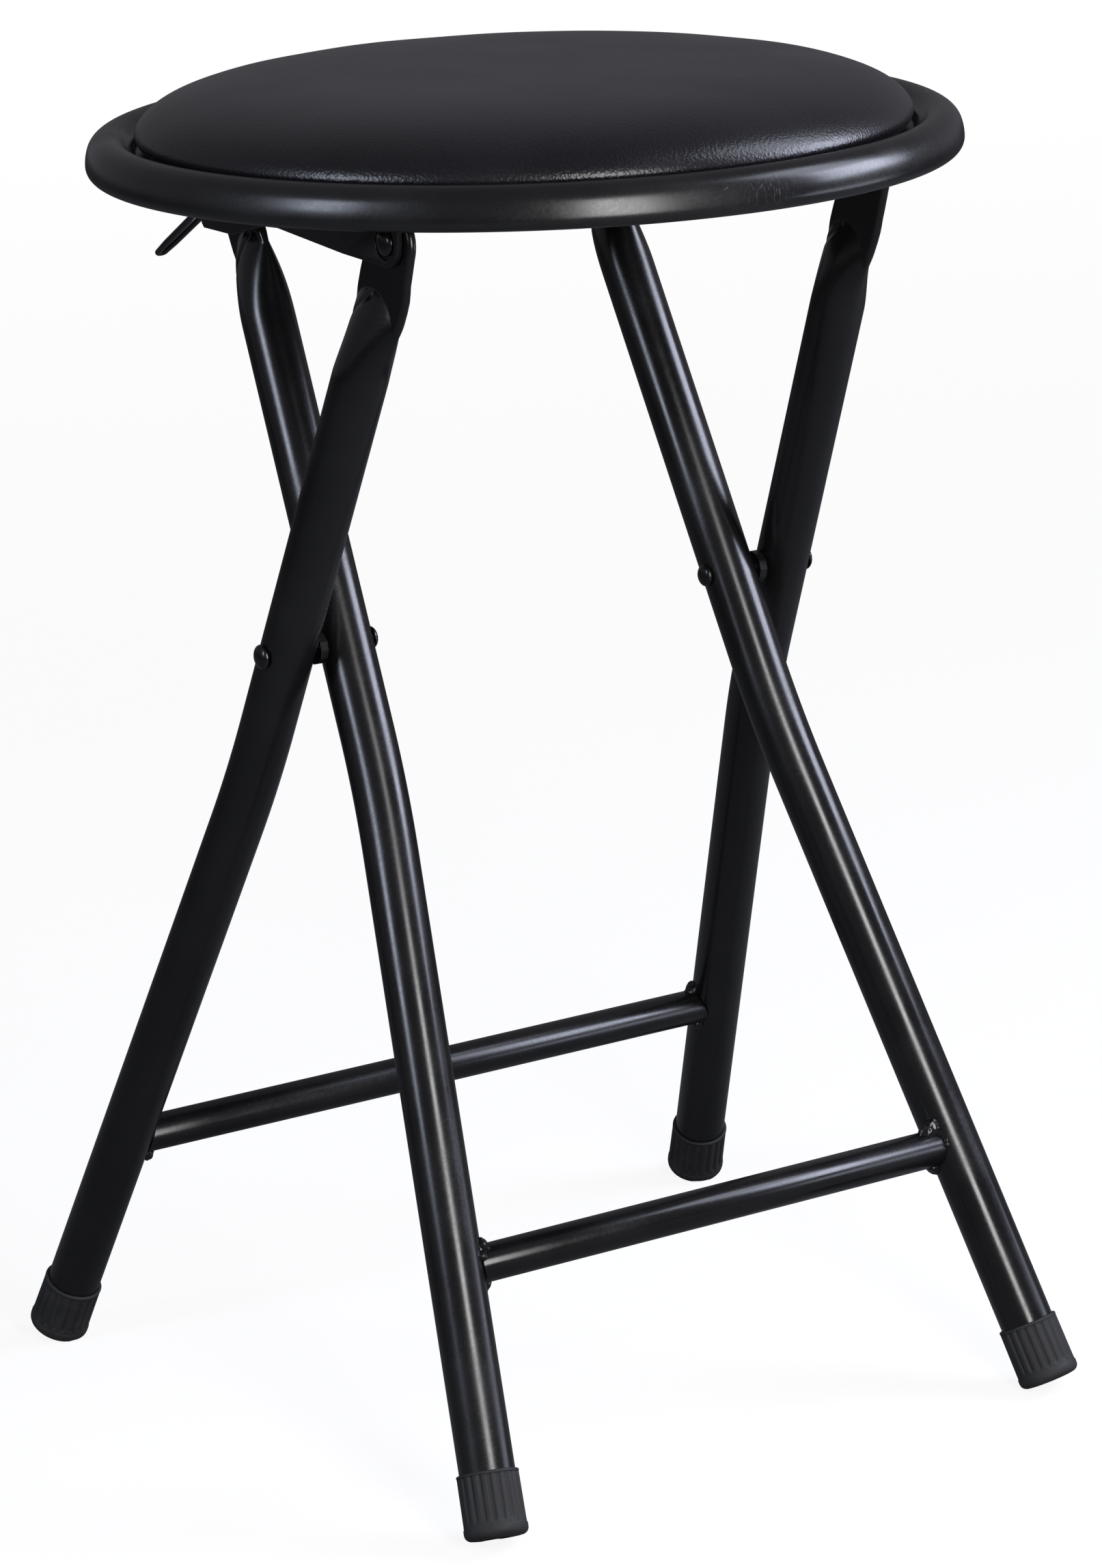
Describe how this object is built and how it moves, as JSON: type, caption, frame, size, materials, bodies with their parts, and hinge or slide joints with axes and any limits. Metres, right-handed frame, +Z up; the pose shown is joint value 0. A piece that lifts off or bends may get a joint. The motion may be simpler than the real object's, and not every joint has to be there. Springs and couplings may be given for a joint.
{
  "type": "folding stool",
  "caption": "Round folding stool: padded seat in a rolled steel pan on crossed tube legs with rubber feet, hinged to fold flat, with a wire safety latch.",
  "frame": {"origin": "on the floor, under the middle of the stool", "axes": "+Z up, X along the hinge axes, -Y towards the front edge of the seat, where the seat hinges on the outer legs"},
  "size_m": [0.3044, 0.3, 0.4677],
  "materials": {
    "satin_black_steel": "satin black paint on pressed steel",
    "gloss_black_steel": "glossy black powder coat on steel tube",
    "black_leatherette": "black leatherette with a fine grain",
    "foam": "upholstery foam, inside the cover",
    "plywood": "plain plywood, inside the cover",
    "bright_steel": "zinc plated screw",
    "black_rubber": "matte black rubber with moulded flutes"
  },
  "bodies": {
    "outer_frame": {"outer_leg_left": "gloss_black_steel", "outer_leg_right": "gloss_black_steel", "outer_crossbar": "gloss_black_steel", "outer_foot_left": "black_rubber", "outer_foot_right": "black_rubber", "cross_rivet_left": "gloss_black_steel", "cross_rivet_right": "gloss_black_steel", "cross_spacer_left": "satin_black_steel", "cross_spacer_right": "satin_black_steel"},
    "inner_frame": {"inner_leg_left": "gloss_black_steel", "inner_leg_right": "gloss_black_steel", "inner_crossbar": "gloss_black_steel", "inner_foot_left": "black_rubber", "inner_foot_right": "black_rubber", "inner_top_rod": "gloss_black_steel"},
    "seat": {"seat_pan": "satin_black_steel", "seat_board": "plywood", "seat_foam": "foam", "seat_cover": "black_leatherette", "seat_screw_1": "bright_steel", "seat_screw_2": "bright_steel", "seat_screw_3": "bright_steel", "seat_screw_4": "bright_steel", "seat_bracket_left": "satin_black_steel", "seat_bracket_right": "satin_black_steel", "top_rivet_left": "gloss_black_steel", "top_rivet_right": "gloss_black_steel", "top_washer_left": "gloss_black_steel", "top_washer_right": "gloss_black_steel"},
    "latch": {"latch_wire": "gloss_black_steel"}
  },
  "joints": [
    {"name": "seat_tilt", "type": "hinge", "parent": "outer_frame", "child": "seat", "pos_m": [0, -0.0692, 0.4275], "axis": [1, 0, 0], "range_deg": [0, 108]},
    {"name": "leg_fold", "type": "hinge", "parent": "outer_frame", "child": "inner_frame", "pos_m": [0, 0, 0.278], "axis": [1, 0, 0], "range_deg": [0, 46]},
    {"name": "latch_swing", "type": "hinge", "parent": "seat", "child": "latch", "pos_m": [-0.0656, 0.09, 0.424], "axis": [1, 0, 0], "range_deg": [0, 38]}
  ],
  "couplings": [
    {"joint": "leg_fold", "follows": "seat_tilt", "ratio": 0.4259}
  ]
}
